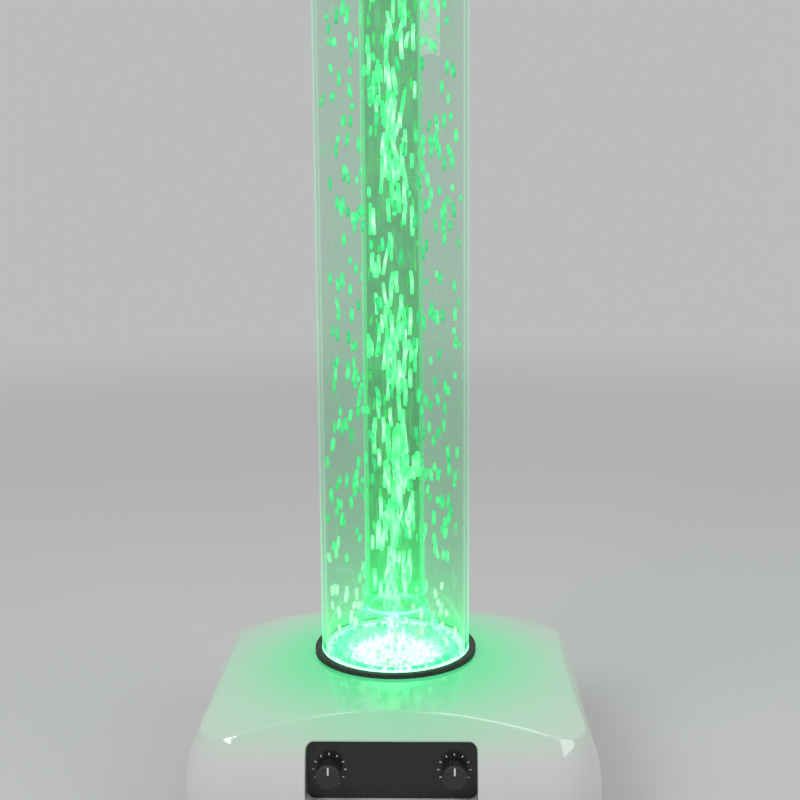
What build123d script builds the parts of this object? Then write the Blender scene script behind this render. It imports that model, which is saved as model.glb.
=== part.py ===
from build123d import *
import os
from math import atan2, cos, degrees, pi, radians, sin, sqrt

# Waterless bubble tube: a clear column of two nested acrylic tubes on a moulded base.
# A blower in the base lifts small foam beads up the narrow riser tube; they fall back in the
# space round it and slide down a lit funnel to the air nozzle.
# Millimetres, +Z up, front towards -Y, origin on the table under the middle of the base.

# Driving dimensions

total_height = 1219.0
tube_diameter = 127.0
tube_wall = 3.2
riser_diameter = 50.8
riser_wall = 2.2
riser_gap_above_ring = 36.0
riser_gap_below_cap = 66.0
base_width = 333.0
base_depth = 289.0
base_corner_radius = 47.0
dome_peak_level = 127.0
dome_radius_across = 575.0
dome_radius_along = 760.0
barrel_radius = 105.0
skirt_top_level = 47.0
shell_wall = 3.0
top_edge_rounding = 4.0
foot_height = 5.0

# Clearances and overruns used everywhere

cut_overrun = 5.0
fit_clearance = 0.2
thread_clearance = 0.05
running_clearance = 0.05
seat_gap = 0.1

# Rubber seal between the tube and the base

seal_stand = 0.4
seal_flange_width = 5.8
seal_sleeve_wall = 2.2
seal_reach = 12.0
seal_rounding = 0.6

# Socket that carries the tube under the dome

socket_wall = 3.2
socket_ledge_thickness = 3.0
socket_ledge_width = 14.0
socket_flange_thickness = 3.0
socket_flange_width = 17.0
socket_flange_drop = 18.0
socket_screw_count = 4
socket_boss_radius = 5.5

# Translucent funnel that the beads slide down, a plug in the tube's lower end

hopper_wall = 3.0
hopper_floor_thickness = 2.6
hopper_flange_thickness = 3.0
hopper_rim_width = 3.0
hopper_rim_drop = 1.0
hopper_fall = 16.4
hopper_height = 37.2

# Round board of light-emitting diodes under the funnel

board_thickness = 1.6
led_board_hole_radius = 24.0
led_count = 12
led_side = 5.0
led_height = 1.6

# Blower, standing on edge with its outlet under the nozzle

impeller_radius = 25.0
impeller_length = 20.0
impeller_side_gap = 2.0
impeller_plate = 1.5
blade_count = 24
blade_length = 5.5
blade_thickness = 0.8
blade_lean = 32.0
hub_radius = 12.0
hub_wall = 2.0
volute_step = 3.0
tongue_gap = 2.5
blower_wall = 2.0
outlet_length = 28.0
outlet_rise = 36.5
inlet_hole_radius = 17.0
blower_foot_length = 74.0
blower_foot_infill = 50.0
blower_foot_infill_height = 9.0
motor_radius = 9.4
motor_length = 15.0
fan_shaft_radius = 1.5
bearing_radius = 3.5
bearing_length = 3.0

# Nozzle from the blower's outlet to the funnel's throat

nozzle_bore_radius = 14.0
nozzle_wall = 2.0
nozzle_sleeve_overlap = 6.0
nozzle_neck = 9.0
screen_thickness = 0.6
screen_ledge = 0.9
screen_hole_radius = 0.9
screen_pitch = 3.0

# Base plate, feet and their screws

plate_thickness = 3.0
plate_clearance = 0.3
foot_radius = 11.0
foot_inset = 36.0
foot_stem_radius = 3.0
foot_lip = 1.0
foot_lip_height = 1.6
foot_rounding = 1.2
base_screw_inset = 16.0
base_screw_spacing = 110.0
base_boss_radius = 5.0
vent_slot_count = 9
vent_slot_width = 3.6
vent_slot_length = 64.0
vent_slot_pitch = 8.0
vent_middle_x = 62.0

# Screws

screw_radius = 1.75
screw_head_radius = 3.4
screw_head_height = 2.0
screw_depth = 12.0

# Dark control panel in the front recess

recess_width = 132.0
recess_height = 48.0
recess_middle_level = 74.0
recess_corner_radius = 6.0
recess_lip = 3.0
recess_rounding = 1.5
panel_thickness = 2.5
panel_face_setback = 18.5
control_margin = 17.5

# Potentiometers and knobs

pot_side = 16.0
pot_depth = 11.3
bushing_radius = 3.5
bushing_length = 4.5
pot_shaft_radius = 3.0
pot_shaft_length = 12.0
nut_across_flats = 10.0
nut_thickness = 2.0
knob_radius = 9.5
knob_length = 14.0
knob_stand_off = 0.6
knob_skirt_radius = 7.2
knob_skirt_depth = 5.0
knob_front_rounding = 1.2
knob_flute_count = 20
knob_flute_radius = 0.9
knob_flute_front = 3.0
pointer_width = 1.4
pointer_depth = 0.6
pointer_start = 2.0

# Control board behind the panel

control_board_margin = 4.0
control_board_height = 42.0
chip_side = 9.0
chip_height = 1.4
capacitor_radius = 4.0
capacitor_height = 11.0
connector_width = 12.0
connector_height = 7.0
power_connector_x = -44.6
fan_connector_x = 7.4
led_connector_x = 44.6

# Leads inside the base

lead_radius = 1.4
lead_arc_share = 0.45
led_lead_start = (22, -29.5)
inlet_lead_from_inlet = [(0, -9, 0), (8, -19, 0)]
inlet_lead_to_switch = [(-9.2, -17, 0), (0, -9, 0)]
power_lead_from_switch = [(0, -12, 0), (-10.7, -30, -8), (-36.7, -46, -17)]
power_lead_shares = [(-0.28, 0.36, 11), (-0.36, 0.08, 11), (-0.37, -0.19, 13)]
power_lead_to_board = [(-12.4, 45.6, -37.1), (-5.4, 27.6, -21.1), (-0.9, 17.6, -6.1), (0, 10.6, 0)]
fan_lead_from_motor = [(-9, 0, 0), (-18, -11.5, 3), (-18, -32, 9)]
fan_lead_to_board = [(-29.4, 29.1, -1.1), (-11, 18.1, -0.1), (0, 10.6, 0)]
led_lead_from_lamps = [(0, 0, -9), (4, -13, -19)]
led_lead_to_board = [(-10.6, 41.1, 3.9), (0, 15.6, 0)]

# Rear recess with the power inlet and the switch

rear_recess_width = 72.0
rear_recess_height = 28.0
rear_recess_level = 28.0
rear_recess_corner_radius = 5.0
rear_recess_depth = 6.5
inlet_x = -20.0
inlet_radius = 4.0
inlet_flange_radius = 5.8
inlet_flange_thickness = 1.5
inlet_length = 11.5
inlet_bore_radius = 2.75
inlet_bore_depth = 9.5
inlet_pin_radius = 1.0
inlet_pin_length = 8.0
inlet_nut_thickness = 2.4
inlet_nut_wall = 2.2
switch_x = 15.0
switch_length = 19.0
switch_height = 13.0
switch_body_depth = 16.0
switch_bezel = 1.2
switch_bezel_thickness = 1.6
rocker_radius = 8.0
rocker_width = 10.6
rocker_top_height = 3.4
rocker_angle = 8.0
rocker_pivot_drop = 1.0
trunnion_radius = 1.0
trunnion_length = 0.9

# Supports of the riser tube

hub_sleeve_wall = 2.6
hub_sleeve_length = 14.0
hub_ledge_thickness = 3.0
hub_ledge_lip = 1.8
spider_leg_count = 3
spider_leg_thickness = 3.0
stand_leg_depth = 12.0
stand_foot_height = 4.0
spider_ring_wall = 2.4
spider_ring_height = 8.0
spider_drop = 18.0

# Cap with its vents, mesh and bead deflector

cap_plate_thickness = 5.0
cap_wall = 3.5
cap_skirt_length = 38.0
cap_rounding = 3.0
cap_vent_count = 12
cap_vent_width = 5.0
cap_vent_inner = 20.0
cap_vent_outer = 54.0
mesh_thickness = 0.8
mesh_hole_radius = 1.3
mesh_pitch = 7.4
mesh_margin = 6.0
deflector_radius = 30.0
deflector_depth = 24.0
deflector_lip = 2.0
deflector_neck_radius = 6.0
deflector_neck_length = 9.0
cap_screw_count = 3
cap_screw_radius = 1.5
cap_screw_head_radius = 3.0
cap_screw_head_height = 1.6
cap_screw_level_drop = 18.0

# Foam beads

bead_radius = 1.75
bead_gap = 0.15
hopper_bead_count = 150
rising_bead_count = 130
falling_bead_count = 170

# Sizes and levels worked out from the driving dimensions

tube_radius = tube_diameter / 2
tube_bore = tube_radius - tube_wall
riser_radius = riser_diameter / 2
riser_bore = riser_radius - riser_wall
plate_top = foot_height + plate_thickness
ring_level = dome_peak_level + seal_stand
seal_bottom = ring_level - seal_reach
seal_sleeve_radius = tube_radius + fit_clearance + seal_sleeve_wall
rim_level = ring_level - hopper_rim_drop
throat_level = rim_level - hopper_fall
ledge_level = rim_level - hopper_height
tube_foot_level = ledge_level + hopper_flange_thickness
socket_radius = tube_radius + fit_clearance + socket_wall
socket_top = seal_bottom - fit_clearance
socket_flange_top = ring_level - socket_flange_drop
socket_boss_circle = socket_radius + socket_flange_width - socket_boss_radius
hopper_radius = tube_bore - fit_clearance
hopper_cone_radius = hopper_radius - hopper_rim_width
nozzle_radius = nozzle_bore_radius + nozzle_wall
throat_radius = nozzle_radius + fit_clearance
cone_slope = atan2(hopper_fall, hopper_cone_radius - throat_radius)
cap_underside = total_height - cap_plate_thickness
tube_top = cap_underside - mesh_thickness
riser_foot_level = ring_level + riser_gap_above_ring
riser_top = tube_top - riser_gap_below_cap
hub_bore = riser_radius + fit_clearance
hub_outer = hub_bore + hub_sleeve_wall
volute_radius = impeller_radius + tongue_gap + volute_step / 2
impeller_y = outlet_length / 2 - volute_radius - 2.5 * volute_step
impeller_level = plate_top + blower_wall + volute_radius + 1.5 * volute_step
outlet_level = impeller_level + outlet_rise
blower_half = impeller_length / 2 + impeller_side_gap
panel_face_y = -base_depth / 2 + panel_face_setback
panel_back_y = panel_face_y + panel_thickness
rear_floor_y = base_depth / 2 - rear_recess_depth
pot_back_y = panel_back_y + pot_depth
connector_y = pot_back_y + board_thickness + connector_height
control_board_width = recess_width - 2 * control_board_margin
connector_drop = (control_board_height - connector_height) / 2 - board_thickness
connector_level = recess_middle_level - connector_drop
control_x = recess_width / 2 - control_margin
control_places = {"speed": -control_x, "colour": control_x}
connector_places = {"power": power_connector_x, "fan": fan_connector_x, "led": led_connector_x}
golden_angle = degrees(pi * (3 - sqrt(5)))


def disc(radius, low, high):
    """Upright round bar from one level to another."""
    return Pos(0, 0, low) * extrude(Circle(radius), high - low)


def ring(outer, inner, low, high):
    """Upright tube from one level to another."""
    return Pos(0, 0, low) * extrude(Circle(outer) - Circle(inner), high - low)


def block(low, high):
    """Box between two opposite corners."""
    size = [b - a for a, b in zip(low, high)]
    middle = [(a + b) / 2 for a, b in zip(low, high)]
    return Pos(*middle) * Box(*size)


def bar_along_y(radius, x, z, start, end):
    """Round bar parallel to Y."""
    return Pos(x, (start + end) / 2, z) * Rot(90, 0, 0) * Cylinder(radius, abs(end - start))


def bar_along_x(radius, y, z, start, end):
    """Round bar parallel to X."""
    return Pos((start + end) / 2, y, z) * Rot(0, 90, 0) * Cylinder(radius, abs(end - start))


def turned(points):
    """Solid of revolution about Z from an outline of radius and height pairs."""
    outline = Plane.XZ * make_face(Polyline(*points, close=True))
    return revolve(outline, Axis.Z)


def around(piece, count, start=0.0):
    """Copies of a piece turned evenly about Z."""
    return [Rot(0, 0, start + 360 * i / count) * piece for i in range(count)]


def join(pieces):
    """One solid from pieces that meet."""
    first, *others = list(pieces)
    return first.fuse(*others) if others else first


def group(pieces):
    """Several separate solids kept in one node."""
    return Compound(children=[p for piece in pieces for p in piece.solids()])


def window(width, height, corner, x, z, start, end):
    """Upright rounded opening, cut along Y between two places."""
    outline = extrude(RectangleRounded(width, height, corner), end - start)
    return Pos(x, end, z) * Rot(90, 0, 0) * outline


# Moulded shell of the base

def barrel(inset, low, high):
    """Rounded block whose upper walls curve inwards, set in from the outside by a wall."""
    half_width = base_width / 2 - inset
    half_depth = base_depth / 2 - inset
    corner = base_corner_radius - inset
    bulge = barrel_radius - inset
    rim = corner - fit_clearance

    def lean(level):
        return bulge - sqrt(bulge**2 - (level - skirt_top_level) ** 2)

    middle = (skirt_top_level + high) / 2
    section = Plane.XZ * make_face(
        Polyline((half_width - rim, high), (half_width - rim, low), (half_width, low),
                 (half_width, skirt_top_level))
        + ThreePointArc((half_width, skirt_top_level), (half_width - lean(middle), middle),
                        (half_width - lean(high), high))
        + Line((half_width - lean(high), high), (half_width - rim, high))
    )
    x, y = half_width - corner, half_depth - corner
    path = Wire([
        Line((half_width, 0), (half_width, y)).edge(),
        CenterArc((x, y), corner, 0, 90).edge(),
        Line((x, half_depth), (-x, half_depth)).edge(),
        CenterArc((-x, y), corner, 90, 90).edge(),
        Line((-half_width, y), (-half_width, -y)).edge(),
        CenterArc((-x, -y), corner, 180, 90).edge(),
        Line((-x, -half_depth), (x, -half_depth)).edge(),
        CenterArc((x, -y), corner, 270, 90).edge(),
        Line((half_width, -y), (half_width, 0)).edge(),
    ])
    core = RectangleRounded(2 * (half_width - rim), 2 * (half_depth - rim), corner - rim)
    return sweep(section, path=path) + Pos(0, 0, low) * extrude(core, high - low)


def dome(inset):
    """Everything under the domed top, set in by a wall: an arc turned about a long axis."""
    top = dome_peak_level - inset
    across = dome_radius_across - inset
    along = dome_radius_along - inset
    half = base_depth / 2 + base_corner_radius
    edge = top - along + sqrt(along**2 - half**2)
    floor = -base_corner_radius
    outline = Plane.YZ * make_face(
        ThreePointArc((-half, edge), (0, top), (half, edge))
        + Polyline((half, edge), (half, floor), (-half, floor), (-half, edge))
    )
    swing = 2 * degrees(atan2(base_width, across))
    turned_block = revolve(outline, Axis((0, 0, top - across), (0, 1, 0)), swing)
    return Pos(0, 0, top - across) * Rot(0, -swing / 2, 0) * Pos(0, 0, across - top) * turned_block


def base_bodies():
    """Outside and inside volumes of the moulded shell."""
    outside = barrel(0, foot_height, dome_peak_level) & dome(0)
    outside = fillet(outside.faces().sort_by(Axis.Z)[-1].edges(), top_edge_rounding)
    inside = barrel(shell_wall, 0, dome_peak_level) & dome(shell_wall)
    return outside, inside


def base_screw_places():
    x = base_width / 2 - base_screw_inset
    return [(sx * x, sy * base_screw_spacing / 2) for sx in (-1, 1) for sy in (-1, 1)]


def socket_screw_places():
    angles = [radians(360 * (i + 0.5) / socket_screw_count) for i in range(socket_screw_count)]
    return [(socket_boss_circle * cos(a), socket_boss_circle * sin(a)) for a in angles]


def make_base_shell(outside, inside):
    hollow = outside - inside
    bosses = []
    for x, y in base_screw_places():
        bosses.append(Pos(x, y, 0) * disc(base_boss_radius, plate_top, dome_peak_level))
    for x, y in socket_screw_places():
        bosses.append(Pos(x, y, 0) * disc(socket_boss_radius, socket_flange_top, dome_peak_level))
    front_box = window(
        recess_width + 2 * shell_wall, recess_height + 2 * shell_wall,
        recess_corner_radius + shell_wall, 0, recess_middle_level,
        -base_depth, panel_back_y + panel_thickness)
    rear_box = window(
        rear_recess_width + 2 * shell_wall, rear_recess_height + 2 * shell_wall,
        rear_recess_corner_radius + shell_wall, 0, rear_recess_level,
        rear_floor_y - shell_wall, base_depth)
    solid = hollow.fuse(*[(piece & outside) for piece in (*bosses, front_box, rear_box)])
    cuts = [
        window(recess_width, recess_height, recess_corner_radius, 0, recess_middle_level,
               -base_depth, panel_back_y),
        window(recess_width - 2 * recess_lip, recess_height - 2 * recess_lip,
               recess_corner_radius - recess_lip, 0, recess_middle_level,
               -base_depth, panel_back_y + panel_thickness + cut_overrun),
        window(rear_recess_width, rear_recess_height, rear_recess_corner_radius, 0,
               rear_recess_level, rear_floor_y, base_depth),
        bar_along_y(inlet_radius + seat_gap, inlet_x, rear_recess_level,
                    rear_floor_y - shell_wall - cut_overrun, rear_floor_y + cut_overrun),
        block((switch_x - switch_length / 2 - seat_gap, rear_floor_y - shell_wall - cut_overrun,
               rear_recess_level - switch_height / 2 - seat_gap),
              (switch_x + switch_length / 2 + seat_gap, rear_floor_y + cut_overrun,
               rear_recess_level + switch_height / 2 + seat_gap)),
        disc(seal_sleeve_radius, socket_flange_top, ring_level),
    ]
    hole = screw_radius + thread_clearance
    for x, y in base_screw_places():
        cuts.append(Pos(x, y, 0) * disc(hole, foot_height, plate_top + screw_depth))
    for x, y in socket_screw_places():
        cuts.append(Pos(x, y, 0) * disc(hole, socket_flange_top - cut_overrun,
                                        socket_flange_top + screw_depth / 2))
    solid = solid.cut(*cuts)
    solid = fillet(opening_edges(solid, recess_width, recess_height, recess_middle_level, -1),
                   recess_rounding)
    return fillet(opening_edges(solid, rear_recess_width, rear_recess_height,
                                rear_recess_level, 1), recess_rounding)


def opening_edges(solid, width, height, level, side):
    """Outer edges of a recess on the front, side -1, or on the back, side 1."""
    outer = base_depth / 2 - rear_recess_depth / 2 if side > 0 else -panel_face_y + panel_thickness
    found = []
    for edge in solid.edges():
        box = edge.bounding_box()
        inside = (box.max.X - box.min.X <= width + seat_gap
                  and max(abs(box.max.X), abs(box.min.X)) <= width / 2 + seat_gap
                  and level - height / 2 - seat_gap <= box.min.Z
                  and box.max.Z <= level + height / 2 + seat_gap)
        near = box.min.Y if side > 0 else -box.max.Y
        if inside and near > outer:
            found.append(edge)
    return found


def make_tube_seal(outside, inside):
    """Rubber ring whose groove grips the edge of the hole in the domed top."""
    flange_radius = tube_radius + seal_flange_width
    body = ring(flange_radius, tube_radius + seat_gap, seal_bottom, ring_level)
    body = fillet(body.edges().filter_by(GeomType.CIRCLE).group_by(Axis.Z)[-1], seal_rounding)
    groove = (outside - inside) - disc(seal_sleeve_radius, seal_bottom, ring_level)
    return body - groove


def make_tube_socket():
    inner = tube_radius + fit_clearance
    ledge_low = ledge_level - socket_ledge_thickness
    wall = ring(socket_radius, inner, ledge_low, socket_top)
    ledge = ring(socket_radius, inner - socket_ledge_width, ledge_low, ledge_level)
    flange = ring(socket_radius + socket_flange_width, inner,
                  socket_flange_top - socket_flange_thickness, socket_flange_top)
    holes = [Pos(x, y, 0) * disc(screw_radius + fit_clearance, ledge_low, socket_top)
             for x, y in socket_screw_places()]
    return join([wall, ledge, flange]).cut(*holes)


def make_bead_hopper():
    flange_radius = tube_radius
    inner = hopper_radius - hopper_wall
    under = hopper_floor_thickness / cos(cone_slope)
    slope_share = (inner - throat_radius) / (hopper_cone_radius - throat_radius)
    points = [
        (throat_radius, throat_level), (hopper_cone_radius, rim_level),
        (hopper_radius, rim_level), (hopper_radius, tube_foot_level),
        (flange_radius, tube_foot_level), (flange_radius, ledge_level),
        (inner, ledge_level), (inner, throat_level + slope_share * hopper_fall - under),
        (throat_radius, throat_level - under),
    ]
    return turned(points)


def make_led_board():
    outer = hopper_radius - hopper_wall - fit_clearance
    return ring(outer, led_board_hole_radius, ledge_level, ledge_level + board_thickness)


def make_leds():
    middle = (led_board_hole_radius + hopper_radius - hopper_wall) / 2
    low = ledge_level + board_thickness
    led = block((middle - led_side / 2, -led_side / 2, low),
                (middle + led_side / 2, led_side / 2, low + led_height))
    return group(around(led, led_count))


def make_outer_tube():
    tube = ring(tube_radius, tube_bore, tube_foot_level, tube_top)
    return tube.cut(*[cut for cut in cap_screw_bars(cap_screw_radius + thread_clearance)])


def make_riser_tube():
    return ring(riser_radius, riser_bore, riser_foot_level, riser_top)


# Supports of the riser tube

def leg(points):
    """Flat blade standing on the X axis, from an outline of radius and height pairs."""
    face = Plane.XZ * make_face(Polyline(*points, close=True))
    return extrude(face, spider_leg_thickness / 2, both=True)


def make_riser_stand():
    """Ledged hub on three clear legs that stand on the funnel's rim."""
    hub_low = riser_foot_level - hub_ledge_thickness
    hub = ring(hub_outer, hub_bore, hub_low, riser_foot_level + hub_sleeve_length)
    ledge = ring(hub_outer, riser_radius - hub_ledge_lip, hub_low, riser_foot_level)
    root = hub_outer - hub_sleeve_wall / 2
    outer = tube_bore - fit_clearance
    blade = leg([
        (root, hub_low + stand_leg_depth), (root, hub_low), (hopper_cone_radius, rim_level),
        (outer, rim_level), (outer, rim_level + stand_foot_height),
    ])
    return join([hub, ledge, *around(blade, spider_leg_count, 90)])


def make_riser_spider():
    """Hub and outer ring that centre the top of the riser in the tube."""
    top = riser_top - spider_drop
    outer = tube_bore - fit_clearance
    hub = ring(hub_outer, hub_bore, top - hub_sleeve_length, top)
    rim = ring(outer, outer - spider_ring_wall, top - spider_ring_height, top)
    root = hub_outer - hub_sleeve_wall / 2
    reach = outer - spider_ring_wall / 2
    blade = leg([(root, top), (root, top - hub_sleeve_length), (reach, top - spider_ring_height),
                 (reach, top)])
    return join([hub, rim, *around(blade, spider_leg_count, 90)])


# Blower

def volute(grow):
    """Spiral casing outline with its upright outlet, grown by a wall; local axes are Y and Z."""
    y, z, step = impeller_y, impeller_level, volute_step
    first = (y - step / 2, z - step / 2)
    second = (y + step / 2, z - step / 2)
    third = (y + step / 2, z + step / 2)
    radius = volute_radius + grow
    left = -outlet_length / 2 - grow
    right = outlet_length / 2 + grow
    tongue = first[1] + sqrt(radius**2 - (left - first[0]) ** 2)
    start_angle = degrees(atan2(tongue - first[1], left - first[0]))
    outline = (
        CenterArc(first, radius, start_angle, 180 - start_angle)
        + CenterArc(second, radius + step, 180, 90)
        + CenterArc(third, radius + 2 * step, 270, 90)
        + Polyline((right, third[1]), (right, outlet_level), (left, outlet_level), (left, tongue))
    )
    return make_face(outline)


def across(face, start, end):
    """Face drawn in the YZ plane, made solid between two places along X."""
    return Pos(start, 0, 0) * extrude(Plane.YZ * face, end - start)


def blower_screw_places():
    reach = blower_foot_length / 2 - 2 * screw_radius
    return [(-blower_wall / 2, impeller_y + side * reach) for side in (-1, 1)]


def make_blower_housing():
    low_x = -blower_half - blower_wall
    foot = block((low_x, impeller_y - blower_foot_length / 2, plate_top),
                 (blower_half, impeller_y + blower_foot_length / 2, plate_top + plate_thickness))
    infill = block((low_x, impeller_y - blower_foot_infill / 2, plate_top),
                   (blower_half, impeller_y + blower_foot_infill / 2,
                    plate_top + blower_foot_infill_height))
    shell = join([across(volute(blower_wall), low_x, blower_half), foot, infill])
    inside = across(volute(0), -blower_half, blower_half + cut_overrun)
    spout = block((-blower_half, -outlet_length / 2, outlet_level - blower_wall - cut_overrun),
                  (blower_half, outlet_length / 2, outlet_level + cut_overrun))
    holes = [Pos(x, y, 0) * disc(screw_radius + fit_clearance, plate_top - cut_overrun,
                                 plate_top + plate_thickness + cut_overrun)
             for x, y in blower_screw_places()]
    return shell.cut(inside, spout, *holes)


def make_blower_cover():
    plate = across(volute(blower_wall), blower_half, blower_half + blower_wall)
    hole = bar_along_x(inlet_hole_radius, impeller_y, impeller_level,
                       blower_half - cut_overrun, blower_half + blower_wall + cut_overrun)
    return plate - hole


def make_fan_motor():
    """Fixed core inside the impeller's cup, bored for its two bearings."""
    body = bar_along_x(motor_radius, impeller_y, impeller_level,
                       -blower_half, -blower_half + motor_length)
    bore = bar_along_x(bearing_radius, impeller_y, impeller_level,
                       -blower_half, -blower_half + motor_length)
    return body - bore


def make_fan_bearings():
    starts = (-blower_half, -blower_half + motor_length - bearing_length)
    return group(
        bar_along_x(bearing_radius, impeller_y, impeller_level, x, x + bearing_length)
        - bar_along_x(fan_shaft_radius + running_clearance, impeller_y, impeller_level,
                      x, x + bearing_length)
        for x in starts)


def make_impeller():
    """Drum of forward-leaning blades between a back plate and a ring, with a cup for the motor."""
    def wheel(outer, inner, start, end):
        solid = bar_along_x(outer, impeller_y, impeller_level, start, end)
        return solid - bar_along_x(inner, impeller_y, impeller_level, start, end)

    back = -impeller_length / 2
    front = impeller_length / 2
    cup_end = -blower_half + motor_length + impeller_side_gap
    cup = wheel(hub_radius, hub_radius - hub_wall, back, cup_end)
    lid = wheel(hub_radius, fan_shaft_radius, cup_end, cup_end + hub_wall)
    plate = wheel(impeller_radius, hub_radius - hub_wall, back, back + impeller_plate)
    rim = wheel(impeller_radius, impeller_radius - blade_length, front - impeller_plate, front)
    middle = impeller_radius - blade_length / 2
    blade = Box(impeller_length - impeller_plate, blade_length, blade_thickness)
    blades = []
    for i in range(blade_count):
        turn = Pos(0, impeller_y, impeller_level) * Rot(360 * i / blade_count, 0, 0)
        blades.append(turn * Pos(0, middle - blade_thickness, 0) * Rot(blade_lean, 0, 0) * blade)
    return join([cup, lid, plate, rim, *blades])


def make_fan_shaft():
    end = -blower_half + motor_length + impeller_side_gap + hub_wall
    return bar_along_x(fan_shaft_radius, impeller_y, impeller_level,
                       -blower_half + seat_gap, end)


def make_air_nozzle():
    """Sleeve over the blower's outlet that changes from square to round, up to the throat."""
    inner_x, inner_y = 2 * blower_half, outlet_length
    sleeve_x = inner_x + 2 * (blower_wall + fit_clearance)
    sleeve_y = inner_y + 2 * (blower_wall + fit_clearance)
    outer_x, outer_y = sleeve_x + 2 * nozzle_wall, sleeve_y + 2 * nozzle_wall
    top = throat_level
    neck = top - nozzle_neck
    sleeve_low = outlet_level - nozzle_sleeve_overlap
    sleeve = Pos(0, 0, sleeve_low) * extrude(
        Rectangle(outer_x, outer_y) - Rectangle(sleeve_x, sleeve_y), nozzle_sleeve_overlap)
    skin = loft([Pos(0, 0, outlet_level) * Rectangle(outer_x, outer_y),
                 Pos(0, 0, neck) * Circle(nozzle_radius)])
    bore = loft([Pos(0, 0, outlet_level) * Rectangle(inner_x, inner_y),
                 Pos(0, 0, neck) * Circle(nozzle_bore_radius)])
    tip = ring(nozzle_radius, nozzle_bore_radius, neck, top)
    seat = disc(nozzle_bore_radius + screen_ledge, top - screen_thickness, top + cut_overrun)
    return join([skin - bore, sleeve, tip]) - seat


def perforated(radius, margin, pitch, hole, low, high, centre_hole):
    """Round sheet with a triangular pattern of holes inside a plain margin."""
    row_step = pitch * sqrt(3) / 2
    rows = int(radius / row_step)
    places = []
    for row in range(-rows, rows + 1):
        shift = pitch / 2 if row % 2 else 0
        for column in range(-rows, rows + 1):
            x, y = column * pitch + shift, row * row_step
            distance = sqrt(x * x + y * y)
            if centre_hole + hole < distance < radius - margin - hole:
                places.append(Pos(x, y))
    sheet = Circle(radius) - Sketch(children=[place * Circle(hole) for place in places])
    if centre_hole:
        sheet -= Circle(centre_hole)
    return Pos(0, 0, low) * extrude(sheet, high - low)


def make_nozzle_screen():
    return perforated(nozzle_bore_radius + screen_ledge - seat_gap, screen_ledge, screen_pitch,
                      screen_hole_radius, throat_level - screen_thickness, throat_level, 0)


# Base plate, feet and screws

def foot_places():
    x, y = base_width / 2 - foot_inset, base_depth / 2 - foot_inset
    return [(sx * x, sy * y) for sx in (-1, 1) for sy in (-1, 1)]


def make_base_plate():
    inset = shell_wall + plate_clearance
    outline = RectangleRounded(base_width - 2 * inset, base_depth - 2 * inset,
                               base_corner_radius - inset)
    plate = Pos(0, 0, foot_height) * extrude(outline, plate_thickness)
    low, high = foot_height - cut_overrun, plate_top + cut_overrun
    cuts = [Pos(x, y, 0) * disc(foot_stem_radius + seat_gap, low, high)
            for x, y in foot_places()]
    cuts += [Pos(x, y, 0) * disc(screw_radius + fit_clearance, low, high)
             for x, y in base_screw_places()]
    cuts += [Pos(x, y, 0) * disc(screw_radius + thread_clearance, low, high)
             for x, y in blower_screw_places()]
    for i in range(vent_slot_count):
        x = vent_middle_x + (i - (vent_slot_count - 1) / 2) * vent_slot_pitch
        slot = Rot(0, 0, 90) * SlotOverall(vent_slot_length, vent_slot_width)
        cuts.append(Pos(x, impeller_y, low) * extrude(slot, high - low))
    return plate.cut(*cuts)


def make_rubber_feet():
    pad = fillet(disc(foot_radius, 0, foot_height).edges().group_by(Axis.Z)[0], foot_rounding)
    stem = disc(foot_stem_radius, foot_height - foot_rounding, plate_top)
    lip = disc(foot_stem_radius + foot_lip, plate_top, plate_top + foot_lip_height)
    foot = join([pad, stem, lip])
    return group([Pos(x, y, 0) * foot for x, y in foot_places()])


def screw(radius, head_radius, head_height, length):
    """Pan-head screw pointing up, with the underside of its head at zero."""
    head = disc(head_radius, -head_height, 0)
    head = fillet(head.edges().group_by(Axis.Z)[0], head_height / 2)
    slot = block((-head_radius, -radius / 4, -head_height), (head_radius, radius / 4,
                                                             -head_height / 2))
    return (head - slot) + disc(radius, -head_height / 2, length)


def make_base_screws():
    one = screw(screw_radius, screw_head_radius, screw_head_height,
                plate_thickness + screw_depth - seat_gap)
    return group([Pos(x, y, foot_height) * one for x, y in base_screw_places()])


def make_socket_screws():
    one = screw(screw_radius, screw_head_radius, screw_head_height,
                socket_flange_thickness + screw_depth / 2 - seat_gap)
    low = socket_flange_top - socket_flange_thickness
    return group([Pos(x, y, low) * one for x, y in socket_screw_places()])


def make_blower_screws():
    one = screw(screw_radius, screw_head_radius, screw_head_height, 2 * plate_thickness)
    top = plate_top + plate_thickness
    return group([Pos(x, y, top) * Rot(180, 0, 0) * one for x, y in blower_screw_places()])


# Control panel and its two knobs

def make_control_panel():
    plate = window(recess_width - 2 * fit_clearance, recess_height - 2 * fit_clearance,
                   recess_corner_radius - fit_clearance, 0, recess_middle_level,
                   panel_face_y, panel_back_y)
    holes = [bar_along_y(bushing_radius + seat_gap, x, recess_middle_level,
                         panel_face_y - cut_overrun, panel_back_y + cut_overrun)
             for x in control_places.values()]
    return plate.cut(*holes)


def make_pot(x):
    half = pot_side / 2
    body = block((x - half, panel_back_y, recess_middle_level - half),
                 (x + half, pot_back_y, recess_middle_level + half))
    bushing_end = panel_face_y - bushing_length
    bushing = bar_along_y(bushing_radius, x, recess_middle_level, bushing_end, panel_back_y)
    bore = bar_along_y(pot_shaft_radius + running_clearance, x, recess_middle_level,
                       bushing_end - cut_overrun, pot_back_y - panel_thickness)
    return join([body, bushing]) - bore


def shaft_end_y():
    return panel_face_y - pot_shaft_length


def make_pot_shaft(x):
    return bar_along_y(pot_shaft_radius, x, recess_middle_level, shaft_end_y(),
                       pot_back_y - panel_thickness - seat_gap)


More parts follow.
